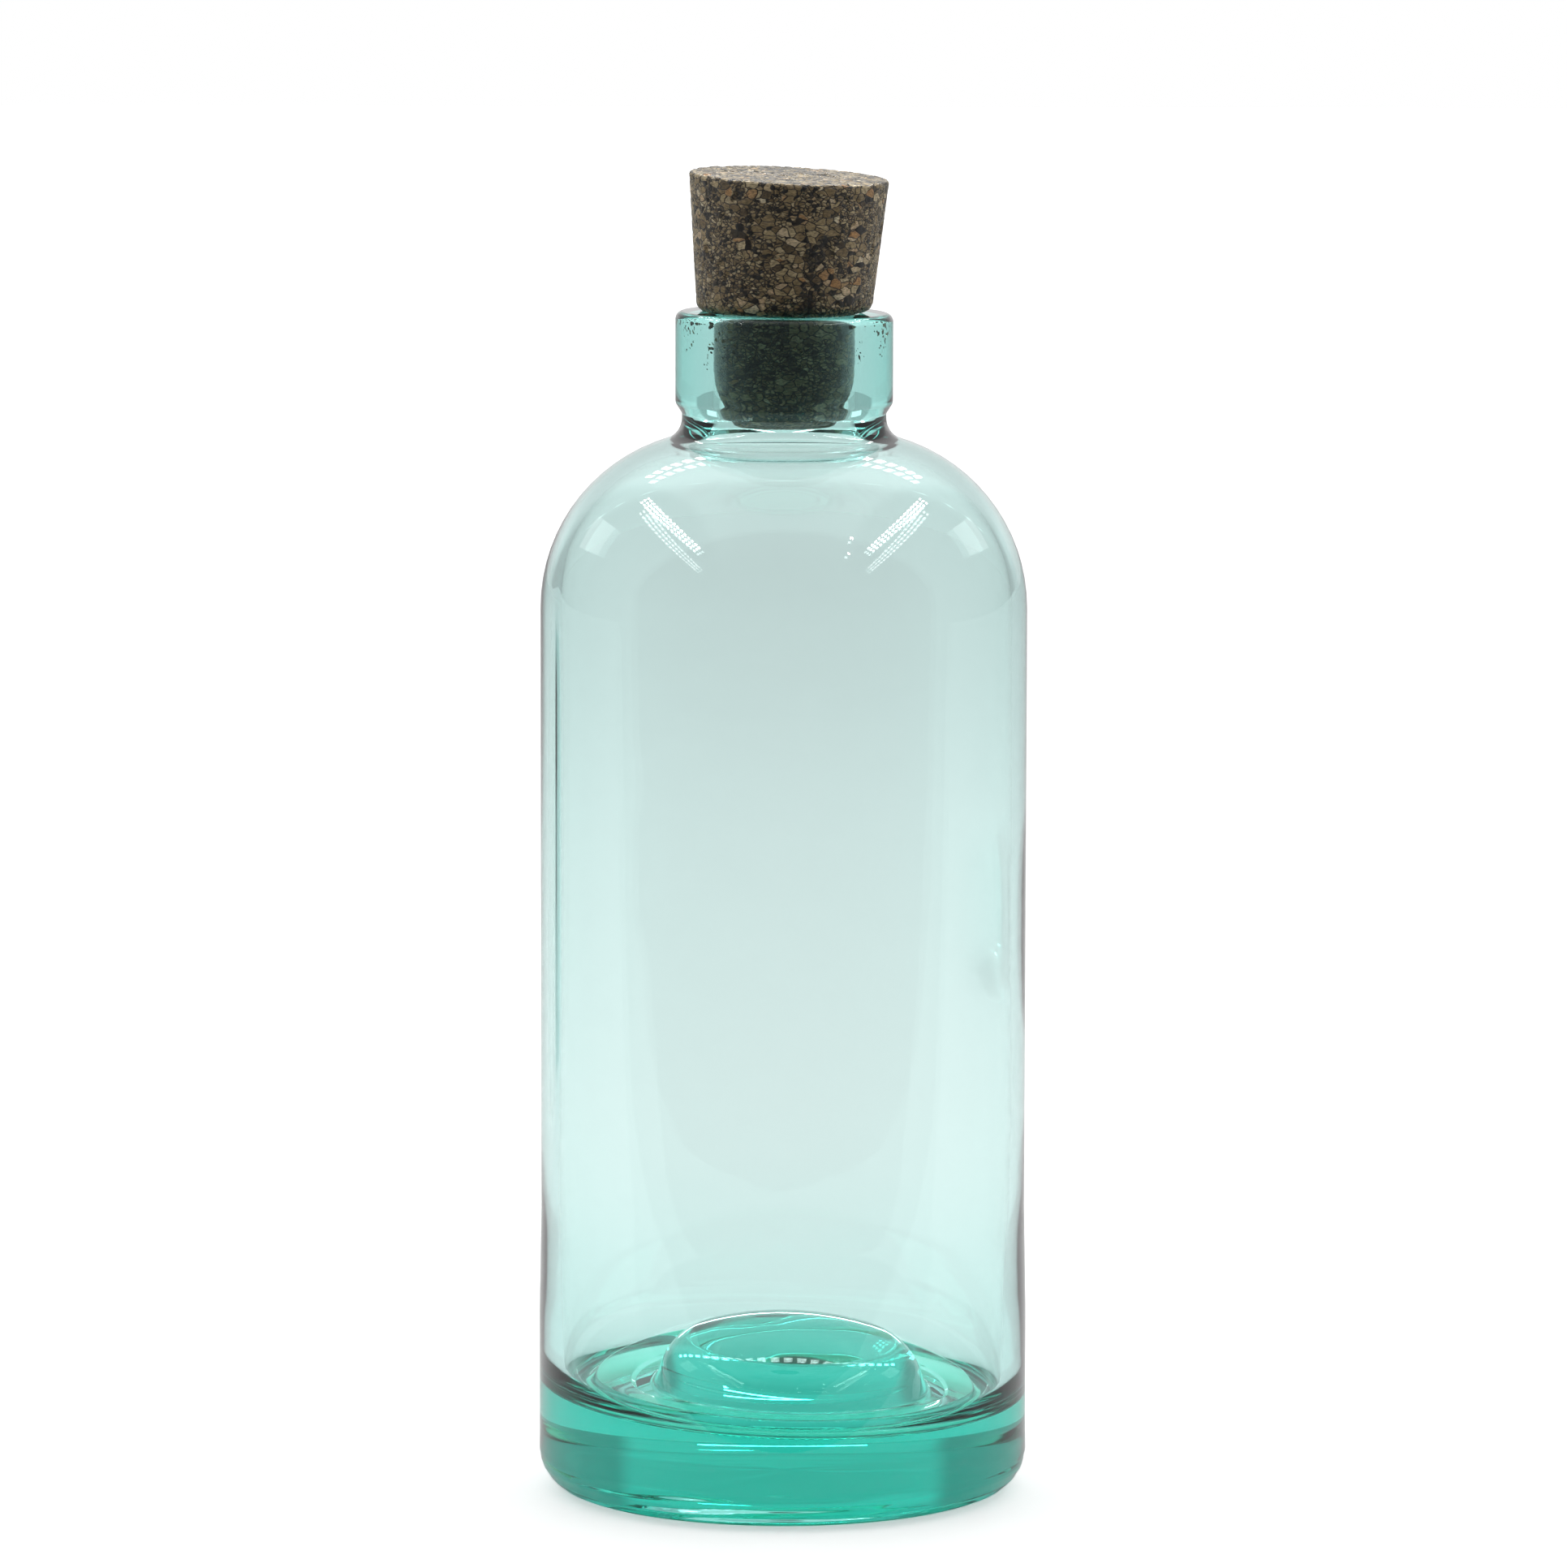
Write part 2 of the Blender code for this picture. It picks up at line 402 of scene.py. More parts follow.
        colour = graph.vector("MULTIPLY", graph.ramp(tone, self.tones), graph.spread(shade))
        colour = graph.mix(graph.maths("SUBTRACT", 1.0, inside), colour, self.gap_colour)
        height = graph.maths("ADD", inside, graph.maths("MULTIPLY", grain, 0.3))
        facing = graph.add("ShaderNodeTexCoord").outputs["Normal"]
        upward = graph.add("ShaderNodeSeparateXYZ", None, Vector=facing).outputs["Z"]
        top = graph.span(upward, 0.7, 0.95, 0.0, 1.0)
        strength = graph.blend(top, *self.bump_strength)
        bump = graph.add(
            "ShaderNodeBump", None, Strength=strength, Distance=self.bump_depth, Height=height
        )
        # Below the head the plug is painted darker: painted shade where it sits in the glass neck.
        up = graph.add("ShaderNodeSeparateXYZ", None, Vector=where).outputs["Z"]
        pressed = graph.span(up, self.plug_top - 3.0 * MM, self.plug_top, self.plug_shade, 1.0)
        # The top is painted paler here: a painted highlight for the bright cloth that the top reflects at a
        # low angle.
        tint = graph.maths("MULTIPLY", pressed, graph.blend(top, 1.0, self.top_painted_highlight))

        graph.feed(shader.inputs["Base Color"], graph.vector("MULTIPLY", colour, graph.spread(tint)))
        shader.inputs["Sheen Weight"].default_value = self.sheen
        shader.inputs["Sheen Roughness"].default_value = self.sheen_roughness
        shader.inputs["Sheen Tint"].default_value = self.sheen_tint
        rough = graph.blend(top, mottled(graph, where, 500.0, 2.0, *self.roughness), self.top_roughness)
        graph.feed(shader.inputs["Roughness"], rough)
        graph.feed(shader.inputs["Normal"], bump.outputs["Normal"])
        return material


@dataclass(frozen=True)
class PaleFloor:
    """The tent's smooth white floor, a little greyer towards the tent's back.

    Args:
        near: its colour round the bottle.
        far: its colour at the back of the tent, the darker end of a painted shade for the light that falls
            off there.
        fade: the distances from the bottle between which one turns into the other.
        lift: the light added for the camera alone, near and far, so that the floor is white in the picture.
        through: the light added for what is seen through glass, near and far.
        rise: the distances from the bottle between which the near one of these turns into the far one.
        glow: the green light painted on the floor under the thick foot, for what is seen through the glass,
            in place of the light that the foot lets through.
        glow_edge: the distances from the middle of the foot between which the glow ends.
    """

    near: Colour = grey(0.80)
    far: Colour = grey(0.78)
    fade: tuple[float, float] = (0.7, 1.7)
    lift: tuple[float, float] = (0.46, 0.8)
    through: tuple[float, float] = (0.18, 0.25)
    rise: tuple[float, float] = (0.4, 1.0)
    glow: Colour = (0.03, 0.50, 0.36, 1.0)
    glow_edge: tuple[float, float] = (36.0 * MM, 46.0 * MM)

    def material(self) -> bpy.types.Material:
        """Build the floor's material."""
        material, graph, shader = new_material("pale_floor_finish")
        where = graph.add("ShaderNodeTexCoord").outputs["Object"]
        away = graph.vector_length(where)
        share = graph.span(away, *self.fade, 0.0, 1.0)
        under = graph.span(away, *self.glow_edge, 1.0, 0.0)
        path = graph.add("ShaderNodeLightPath").outputs
        # The base colour greys from near to far: painted shade for the light falling off towards the tent's
        # back.
        graph.feed(shader.inputs["Base Color"], graph.mix(share, self.near, self.far))
        graph.feed(shader.inputs["Roughness"], mottled(graph, where, 30.0, 2.0, 0.75, 0.9))
        shader.inputs["Specular IOR Level"].default_value = 0.2
        lift = graph.maths("MULTIPLY", path["Is Camera Ray"], graph.span(away, *self.fade, *self.lift))
        direct = graph.maths("LESS_THAN", path["Diffuse Depth"], 0.5)
        in_glass = graph.maths("MULTIPLY", path["Is Transmission Ray"], direct)
        through = graph.blend(under, graph.span(away, *self.rise, *self.through), 1.0)
        # Under the foot the floor glows green to rays through the glass: painted light for the light that
        # the green foot lets through.
        seen = graph.mix(graph.maths("MULTIPLY", under, in_glass), grey(1.0), self.glow)
        graph.feed(shader.inputs["Emission Color"], seen)
        added = graph.maths("ADD", lift, graph.maths("MULTIPLY", in_glass, through))
        graph.feed(shader.inputs["Emission Strength"], added)
        return material


def arc(centre: tuple[float, float], radius: float, start: float, end: float, step: float) -> Outline:
    """Points on an arc from one angle to another, both ends included.

    Args:
        centre: the arc's centre, as radius and height.
        radius: its radius.
        start: the angle of its first point.
        end: the angle of its last point.
        step: the largest angle between two points.

    Returns:
        The outline's points.
    """
    count = max(1, math.ceil(abs(end - start) / step))
    angles = [start + (end - start) * i / count for i in range(count + 1)]
    return [(centre[0] + radius * math.cos(a), centre[1] + radius * math.sin(a)) for a in angles]


def ellipse(
    centre: tuple[float, float], across: float, up: float, start: float, end: float, step: float
) -> Outline:
    """Points on an ellipse from one angle of its circle to another.

    Args:
        centre: the ellipse's centre, as radius and height.
        across: its half width.
        up: its half height.
        start: the angle of its first point.
        end: the angle of its last point.
        step: the angle between two points.

    Returns:
        The outline's points.
    """
    circle = arc((0.0, 0.0), 1.0, start, end, step)
    return [(centre[0] + across * x, centre[1] + up * y) for x, y in circle]


def rounded(corners: Sequence[tuple[float, float, float]], step: float) -> Outline:
    """An outline through corners, with an arc in place of each rounded one.

    Args:
        corners: (radius, height, rounding) of each corner.
        step: the angle between two points of an arc.

    Returns:
        The outline's points.
    """
    outline: Outline = []
    for i, (r, z, rounding) in enumerate(corners):
        if rounding == 0 or i in (0, len(corners) - 1):
            outline.append((r, z))
            continue
        before, after = corners[i - 1], corners[i + 1]
        back = math.atan2(before[1] - z, before[0] - r)
        ahead = math.atan2(after[1] - z, after[0] - r)
        opening = (ahead - back + math.pi) % (2 * math.pi) - math.pi
        middle = back + opening / 2
        to_centre = rounding / math.sin(abs(opening) / 2)
        centre = (r + to_centre * math.cos(middle), z + to_centre * math.sin(middle))
        turn = math.copysign(math.pi - abs(opening), opening)
        start = middle + math.pi + turn / 2
        outline += arc(centre, rounding, start, start - turn, step)
    return outline


def divided(outline: Outline, longest: float) -> Outline:
    """The outline with points added, so that none of its lines is longer than a length."""
    points = [outline[0]]
    for (r0, z0), (r1, z1) in zip(outline, outline[1:]):
        count = max(1, math.ceil(math.hypot(r1 - r0, z1 - z0) / longest))
        points += [(r0 + (r1 - r0) * i / count, z0 + (z1 - z0) * i / count) for i in range(1, count + 1)]
    return points


def revolve(
    name: str, outline: Outline, sides: int, settle: Callable[[Points], Points] | None = None
) -> bpy.types.Object:
    """Turn an outline about the Z axis into a closed body.

    Args:
        name: the new object's name.
        outline: points from the axis and back to it, with the body on their left as they run.
        sides: the number of points round the axis.
        settle: moves the finished points, given and returned as rows of x, y, z.

    Returns:
        The new object, smooth, with its place in its mesh.
    """
    ring = np.array(outline[1:-1])
    turn = np.linspace(0.0, 2 * math.pi, sides, endpoint=False)
    x = ring[:, :1] * np.cos(turn)
    y = ring[:, :1] * np.sin(turn)
    z = np.repeat(ring[:, 1:], sides, axis=1)
    points = np.stack([x, y, z], axis=2).reshape(-1, 3)
    ends = np.array([[0.0, 0.0, outline[0][1]], [0.0, 0.0, outline[-1][1]]])
    points = np.concatenate([points, ends])
    if settle:
        points = settle(points)

    last = len(ring) - 1
    first_pole = len(points) - 2
    faces = []
    for j in range(sides):
        k = (j + 1) % sides
        faces.append((first_pole, j, k))
        faces.append((first_pole + 1, last * sides + k, last * sides + j))
        for i in range(last):
            faces.append((i * sides + j, (i + 1) * sides + j, (i + 1) * sides + k, i * sides + k))
    mesh = bpy.data.meshes.new(name)
    mesh.from_pydata(points.tolist(), [], faces)
    mesh.update()
    mesh.shade_smooth()
    body = bpy.data.objects.new(name, mesh)
    bpy.context.scene.collection.objects.link(body)
    return body


def smoothstep(low: float, high: float, value: Points) -> Points:
    """0 below low, 1 above high, and a smooth rise between them."""
    share = np.clip((value - low) / (high - low), 0.0, 1.0)
    return share * share * (3 - 2 * share)


@dataclass(frozen=True)
class Swell:
    """A place where the bottle's inner wall stands in from its circle.

    Args:
        turn: its middle, as an angle about the axis from +X.
        height: its middle's height.
        depth: how far the wall stands in.
        across: how far it reaches to each side, as an angle.
        up: how far it reaches up and down.
    """

    turn: float
    height: float
    depth: float
    across: float
    up: float

    def shape(self, turn: Points, z: Points) -> Points:
        """How far the wall stands in at each angle about the axis and height."""
        aside = ((turn - self.turn) / self.across) ** 2
        along = ((z - self.height) / self.up) ** 4
        return self.depth * np.exp(-aside - along)


@dataclass
class GlassBottle:
    """The bottle's glass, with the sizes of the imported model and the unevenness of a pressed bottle.

    Args:
        finish: the glass's looks.
        floor_lean: how far the inner floor falls for each metre to the right and towards the front.
        floor_fade: the heights between which the inner floor's lean dies out.
        dome_shift: how far the dome is off the axis, to the right.
        dome_fade: the radii between which that shift dies out.
        lip_lean: how far the lip's top falls for each metre to the right.
        wall_drift: how far the inner wall wanders from its circle.
        drift_start: the heights between which the drift sets in.
        drift_end: the heights between which it dies out.
        swells: the places where the wall is thicker.
        ripple: the height of the chill marks that the mould leaves round the heel and under the foot.
        ripple_length: the distance from one mark to the next.
    """

    finish: TintedGlass
    foot_radius: float = 37.5 * MM
    foot_height: float = 28.0 * MM
    body_radius: float = 37.2 * MM
    body_bottom: float = 44.0 * MM
    heel_round: float = 6.2 * MM
    shoulder_start: float = 136.4 * MM
    shoulder_round: float = 26.9 * MM
    neck_radius: float = 15.6 * MM
    neck_blend: float = 3.5 * MM
    neck_corner_round: float = 0.6 * MM
    lip_radius: float = 16.6 * MM
    lip_bottom: float = 166.2 * MM
    lip_top: float = 181.6 * MM
    lip_underside_rise: float = 1.6 * MM
    lip_underside_round: float = 1.5 * MM
    lip_top_round: float = 1.2 * MM
    ring_width: float = 2.3 * MM
    ring_round: float = 0.8 * MM
    push_up_radius: float = 27.3 * MM
    push_up_edge_height: float = 4.0 * MM
    push_up_edge_round: float = 2.0 * MM
    push_up_height: float = 5.0 * MM
    foot_wall: float = 3.5 * MM
    thin_wall: float = 2.1 * MM
    thin_wall_height: float = 52.0 * MM
    thin_wall_round: float = 600.0 * MM
    shoulder_wall: float = 2.4 * MM
    bore_radius: float = 10.8 * MM
    bore_blend: float = 9.0 * MM
    bore_mouth_round: float = 0.8 * MM
    fillet_across: float = 3.2 * MM
    fillet_up: float = 6.0 * MM
    gutter_radius: float = 30.2 * MM
    gutter_height: float = 15.0 * MM
    gutter_round: float = 0.3 * MM
    ridge_radius: float = 29.3 * MM
    ridge_height: float = 16.7 * MM
    ridge_round: float = 0.3 * MM
    step_radius: float = 24.6 * MM
    step_height: float = 15.8 * MM
    step_foot_radius: float = 24.0 * MM
    step_foot_height: float = 15.4 * MM
    step_round: float = 0.25 * MM
    dome_top: float = 24.8 * MM
    dome_crown: float = 52.8 * MM
    dome_round: float = 7.0 * MM
    dome_side_radius: float = 20.6 * MM
    dome_side_slope: float = math.radians(20.0)
    dome_foot_height: float = 15.3 * MM
    dome_foot_round: float = 1.0 * MM
    floor_lean: tuple[float, float] = (0.033, 0.045)
    floor_fade: tuple[float, float] = (30.0 * MM, 60.0 * MM)
    dome_shift: float = 1.3 * MM
    dome_fade: tuple[float, float] = (22.0 * MM, 33.0 * MM)
    lip_lean: float = 0.012
    wall_drift: float = 0.05 * MM
    drift_start: tuple[float, float] = (18.0 * MM, 40.0 * MM)
    drift_end: tuple[float, float] = (130.0 * MM, 158.0 * MM)
    swells: tuple[Swell, ...] = (
        Swell(turn=0.35, height=88.0 * MM, depth=0.9 * MM, across=0.25, up=11.0 * MM),
        Swell(turn=-2.84, height=100.0 * MM, depth=0.15 * MM, across=0.055, up=42.0 * MM),
    )
    ripple: float = 0.06 * MM
    ripple_length: float = 3.0 * MM
    sides: int = 192
    arc_step: float = math.radians(5.0)
    longest_line: float = 3.0 * MM

    def shoulder(self, radius: float, line_radius: float, blend: float) -> Outline:
        """The shoulder's arc up from the body, and its blend into an upright line of that radius."""
        centre = (self.body_radius - self.shoulder_round, self.shoulder_start)
        across = line_radius + blend - centre[0]
        up = math.sqrt((radius + blend) ** 2 - across**2)
        meeting = math.atan2(up, across)
        blend_centre = (line_radius + blend, self.shoulder_start + up)
        rise = arc(centre, radius, 0.0, meeting, self.arc_step)
        return rise + arc(blend_centre, blend, math.pi + meeting, math.pi, self.arc_step)[1:]

    def dome(self) -> Outline:
        """The flat crown of the dome in the floor, and its round edge, down to its steep side."""
        crown_centre = (0.0, self.dome_top - self.dome_crown)
        edge_radius = self.dome_side_radius - self.dome_round
        lean = math.asin(edge_radius / (self.dome_crown - self.dome_round))
        edge_height = crown_centre[1] + (self.dome_crown - self.dome_round) * math.cos(lean)
        crown = arc(crown_centre, self.dome_crown, math.pi / 2, math.pi / 2 - lean, self.arc_step / 2)
        edge_centre = (edge_radius, edge_height)
        edge = arc(edge_centre, self.dome_round, math.pi / 2 - lean, self.dome_side_slope, self.arc_step)
        return crown + edge[1:]

    def inside(self) -> Outline:
        """From the dome's top, over the floor's rings and up the wall to the bore."""
        dome = self.dome()
        side_radius, side_height = dome[-1]
        side_drop = side_height - self.dome_foot_height
        dome_foot_radius = side_radius + side_drop * math.tan(self.dome_side_slope)
        wall_radius = self.foot_radius - self.foot_wall
        fillet_centre = (wall_radius - self.fillet_across, self.gutter_height + self.fillet_up)
        floor = rounded(
            [
                (side_radius, side_height, 0.0),
                (dome_foot_radius, self.dome_foot_height, self.dome_foot_round),
                (self.step_foot_radius, self.step_foot_height, self.step_round),
                (self.step_radius, self.step_height, self.step_round),
                (self.ridge_radius, self.ridge_height, self.ridge_round),
                (self.gutter_radius, self.gutter_height, self.gutter_round),
                (fillet_centre[0], self.gutter_height, 0.0),
            ],
            self.arc_step,
        )
        fillet = ellipse(fillet_centre, self.fillet_across, self.fillet_up, -math.pi / 2, 0.0, self.arc_step)
        wall = rounded(
            [
                (wall_radius, fillet_centre[1], 0.0),
                (self.body_radius - self.thin_wall, self.thin_wall_height, self.thin_wall_round),
                (self.body_radius - self.shoulder_wall, self.shoulder_start, 0.0),
            ],
            self.arc_step / 10,
        )
        shoulder = self.shoulder(self.shoulder_round - self.shoulder_wall, self.bore_radius, self.bore_blend)
        return dome[:-1] + floor + fillet[1:-1] + wall[:-1] + shoulder

    def lip(self) -> Outline:
        """From the bore over the lip to the neck under it."""
        corners = [
            (self.bore_radius, self.lip_bottom, 0.0),
            (self.bore_radius, self.lip_top, self.bore_mouth_round),
            (self.lip_radius, self.lip_top, self.lip_top_round),
            (self.lip_radius, self.lip_bottom + self.lip_underside_rise, self.lip_underside_round),
            (self.neck_radius, self.lip_bottom, self.neck_corner_round),
            (self.neck_radius, self.shoulder_start, 0.0),
        ]
        return rounded(corners, self.arc_step)[1:-1]

    def outside(self) -> Outline:
        """From the neck down the body, round the heel and in under the push-up."""
        down = self.shoulder(self.shoulder_round, self.neck_radius, self.neck_blend)[::-1]
        corners = [
            (self.body_radius, self.shoulder_start, 0.0),
            (self.body_radius, self.body_bottom, 0.0),
            (self.foot_radius, self.foot_height, 0.0),
            (self.foot_radius, 0.0, self.heel_round),
            (self.foot_radius - self.heel_round - self.ring_width, 0.0, self.ring_round),
            (self.push_up_radius, self.push_up_edge_height, self.push_up_edge_round),
            (0.0, self.push_up_height, 0.0),
        ]
        return down + rounded(corners, self.arc_step)[1:]

    def settle(self, points: Points) -> Points:
        """Lean the inner floor and the lip, and let the inner wall drift, as in the real bottle."""
        x, y, z = points[:, 0].copy(), points[:, 1].copy(), points[:, 2].copy()
        r = np.hypot(x, y)
        turn = np.arctan2(y, x)
        above = np.clip(z - self.shoulder_start, 0.0, None)
        depth = self.shoulder_round - np.hypot(r - self.body_radius + self.shoulder_round, above)
        inner = (depth > self.thin_wall / 2) & (z > self.push_up_height + 1 * MM) & (z < self.lip_bottom)
        low = inner * (1.0 - smoothstep(*self.floor_fade, z))
        points[:, 2] -= low * (self.floor_lean[0] * x - self.floor_lean[1] * y)
        points[:, 0] += low * (1.0 - smoothstep(*self.dome_fade, r)) * self.dome_shift
        points[:, 2] -= smoothstep(self.lip_bottom, self.lip_top, z) * self.lip_lean * x
        straight = inner * smoothstep(*self.drift_start, z) * (1.0 - smoothstep(*self.drift_end, z))
        swing = np.cos(turn - 0.4 + 9.0 * z)
        swing += 0.6 * np.cos(2 * turn + 1.1 + 22.0 * z)
        swing += 0.3 * np.cos(3 * turn - 35.0 * z)
        swollen = sum(swell.shape(turn, z) for swell in self.swells)
        drift = straight * (self.wall_drift * swing - swollen)
        points[:, 0] += drift * np.cos(turn)
        points[:, 1] += drift * np.sin(turn)
        return points + self.chill_marks(r, turn, z, inner)

    def chill_marks(self, r: Points, turn: Points, z: Points, inner: Points) -> Points:
        """How far the chill marks move each point, from its radius, turn and height."""
        waves = 2 * math.pi / self.ripple_length * (r + z)
        ring = np.sin(waves + 1.5 * np.sin(2 * turn + 1.0) + 0.8 * np.sin(5 * turn))
        ring *= 0.6 + 0.4 * np.sin(3 * turn + 2.0)
        ring += 0.5 * np.sin(1.7 * waves + 2.0 * np.sin(3 * turn))
        low = smoothstep(0.2 * MM, 1.2 * MM, z) * (1.0 - smoothstep(7 * MM, 11 * MM, z))
        depth = self.ripple * ring * low * ~inner
        outward = np.clip((r - self.foot_radius + self.heel_round) / self.heel_round, 0.0, 1.0)
        downward = np.where(z < self.heel_round, np.sqrt(1.0 - outward**2), 0.0)
        across = depth * outward
        return -np.stack([across * np.cos(turn), across * np.sin(turn), -depth * downward], axis=1)

    def build(self) -> bpy.types.Object:
        """Make the glass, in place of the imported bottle."""
        outline = divided(self.inside() + self.lip() + self.outside(), self.longest_line)
        bottle = revolve("bottle_glass", outline, self.sides, self.settle)
        bottle.data.materials.append(self.finish.material())
        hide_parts(Node.GLASS.value)
        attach(bottle, Node.GLASS.value)
        return bottle


@dataclass
class GranuleRelief:
    """Geometry Nodes that raise cork granules from a smooth body and sink the gaps and pits between them.

    Args:
        granule: the size of a granule.
        relief: how far a granule stands above the gaps.
        pits: the share of granules that have fallen out.
        seed: moves the pattern.
        contact: how far the specks stand out where the cork is pressed against the glass.
        contact_low: the height where these specks begin.
        contact_high: the height where they end.
    """

    granule: float
    relief: float = 0.12 * MM
    pits: float = 0.05
    seed: float = 4.0
    contact: float = 0.13 * MM
    contact_low: float = 173.0 * MM
    contact_high: float = 180.5 * MM

    def tree(self) -> bpy.types.NodeTree:
        """Build the group, with named inputs for the body, granules, contact specks and material."""
        tree = bpy.data.node_groups.new("granule_relief", "GeometryNodeTree")
        tree.interface.new_socket("Geometry", in_out="INPUT", socket_type="NodeSocketGeometry")
        grains = ("Granule Size", "Relief", "Pit Share", "Seed")
        for name in grains + ("Contact", "Contact Low", "Contact High"):
            tree.interface.new_socket(name, in_out="INPUT", socket_type="NodeSocketFloat")
        tree.interface.new_socket("Material", in_out="INPUT", socket_type="NodeSocketMaterial")
        tree.interface.new_socket("Geometry", in_out="OUTPUT", socket_type="NodeSocketGeometry")
        graph = Graph(tree)
        inputs = graph.add("NodeGroupInput").outputs

        where = graph.add("GeometryNodeInputPosition").outputs[0]
        seed = graph.add("ShaderNodeCombineXYZ", None, X=inputs["Seed"]).outputs[0]
        placed = graph.vector("ADD", where, seed)
        scale = graph.maths("DIVIDE", 1.0, inputs["Granule Size"])
        edge = graph.add(
            "ShaderNodeTexVoronoi", {"feature": "DISTANCE_TO_EDGE"}, Vector=placed, Scale=scale
        ).outputs["Distance"]
        cell = graph.add("ShaderNodeTexVoronoi", {"feature": "F1"}, Vector=placed, Scale=scale)
        chance = graph.add("FunctionNodeSeparateColor", None, Color=cell.outputs["Color"]).outputs["Green"]
        fallen = graph.maths("LESS_THAN", chance, inputs["Pit Share"])
        sunk = graph.maths("MULTIPLY", fallen, 2.0)
        stands = graph.maths("SUBTRACT", graph.span(edge, 0.0, 0.16, 0.0, 1.0), sunk)
        swell = graph.add("ShaderNodeTexNoise", None, Vector=where, Scale=220.0, Detail=1.0).outputs[0]
        height = graph.maths("ADD", stands, graph.maths("SUBTRACT", swell, 0.8))
        up = graph.add("ShaderNodeSeparateXYZ", None, Vector=where).outputs["Z"]
        above_low = graph.maths("GREATER_THAN", up, inputs["Contact Low"])
        below_high = graph.maths("LESS_THAN", up, inputs["Contact High"])
        flat = graph.vector("MULTIPLY", where, (1.0, 1.0, 2.0))
        fine = graph.add("ShaderNodeTexNoise", None, Vector=flat, Scale=1700.0, Detail=2.0).outputs[0]
        patches = graph.add("ShaderNodeTexNoise", None, Vector=where, Scale=170.0, Detail=1.0).outputs[0]
        fine_share = graph.span(fine, 0.5, 0.62, 0.0, 1.0)
        patch_share = graph.span(patches, 0.42, 0.6, 0.0, 1.0)
        specks = graph.maths("MULTIPLY", fine_share, patch_share)
        pressed = graph.maths("MULTIPLY", specks, graph.maths("MULTIPLY", above_low, below_high))
        normal = graph.add("GeometryNodeInputNormal").outputs[0]
        raised = graph.maths("MULTIPLY", height, inputs["Relief"])
        rise = graph.maths("ADD", raised, graph.maths("MULTIPLY", pressed, inputs["Contact"]))
        push = graph.add("ShaderNodeVectorMath", {"operation": "SCALE"}, Vector=normal, Scale=rise)
        offset = push.outputs[0]
        moved = graph.add("GeometryNodeSetPosition", None, Geometry=inputs["Geometry"], Offset=offset)
        whole = graph.add("GeometryNodeRealizeInstances", None, Geometry=moved.outputs[0])
        painted = graph.add(
            "GeometryNodeSetMaterial", None, Geometry=whole.outputs[0], Material=inputs["Material"]
        )
        graph.add("NodeGroupOutput", None, Geometry=painted.outputs[0])
        return tree

    def apply(self, body: bpy.types.Object, material: bpy.types.Material) -> None:
        """Run the nodes on a body and keep the result as its plain mesh."""
        tree = self.tree()
        modifier = body.modifiers.new("Granules", "NODES")
        modifier.node_group = tree
        values = {
            "Granule Size": self.granule,
            "Relief": self.relief,
            "Pit Share": self.pits,
            "Seed": self.seed,
            "Contact": self.contact,
            "Contact Low": self.contact_low,
            "Contact High": self.contact_high,
            "Material": material,
        }
        for item in tree.interface.items_tree:
            if item.in_out == "INPUT" and item.name in values:
                modifier[item.identifier] = values[item.name]
        evaluated = body.evaluated_get(bpy.context.evaluated_depsgraph_get())
        mesh = bpy.data.meshes.new_from_object(evaluated)
        body.modifiers.remove(modifier)
        body.data = mesh
        mesh.shade_smooth()


@dataclass
class CorkStopper:
    """The one-piece cork, with heights counted from the underside of its head.

    Args:
        finish: the cork's looks.
        seat: the height of the lip that the head rests on.
        lean: how far the head leans to the right for each metre up.
        top_lean: how far the head's top falls for each metre to the right and towards the front.
    """

    finish: PressedCork
    seat: float = 181.75 * MM
    head_height: float = 20.6 * MM
    head_top_radius: float = 15.15 * MM
    head_bottom_radius: float = 13.25 * MM
    head_top_round: float = 0.5 * MM
    head_bottom_round: float = 1.6 * MM
    plug_top_radius: float = 10.74 * MM
    plug_radius: float = 10.60 * MM
    plug_length: float = 15.6 * MM
    plug_end_inset: float = 5.0 * MM
    plug_end_height: float = 6.6 * MM
    lean: float = 0.034
    top_lean: tuple[float, float] = (0.05, 0.028)
    sides: int = 320
    arc_step: float = math.radians(8.0)
    longest_line: float = 0.33 * MM

    def outline(self) -> Outline:
        """From the middle of the cork's top, down its side, to the middle of its end."""
        end = ellipse(
            (self.plug_radius - self.plug_end_inset, self.plug_end_height - self.plug_length),
            self.plug_end_inset,
            self.plug_end_height,
            0.0,
            -math.pi / 2,
            self.arc_step,
        )
        head = rounded(
            [
                (0.0, self.head_height, 0.0),
                (self.head_top_radius, self.head_height, self.head_top_round),
                (self.head_bottom_radius, 0.0, self.head_bottom_round),
                (self.plug_top_radius, 0.0, 0.0),
                (self.plug_radius, -self.plug_length, 0.0),
            ],
            self.arc_step,
        )[:-1]
        return divided(head + end + [(0.0, -self.plug_length)], self.longest_line)

    def settle(self, points: Points) -> Points:
        """Lean the head and its top, and lift the cork to its seat."""
        above = np.clip(points[:, 2], 0.0, None)
        fall = self.top_lean[0] * points[:, 0] - self.top_lean[1] * points[:, 1]
        points[:, 2] -= above / self.head_height * fall
        points[:, 0] += above * self.lean
        points[:, 2] += self.seat
        return points

    def build(self) -> bpy.types.Object:
        """Make the cork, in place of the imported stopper."""
        cork = revolve("stopper_cork", self.outline(), self.sides, self.settle)
        GranuleRelief(self.finish.granule).apply(cork, self.finish.material())
        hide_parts(Node.CORK.value)
        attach(cork, Node.CORK.value)
        return cork


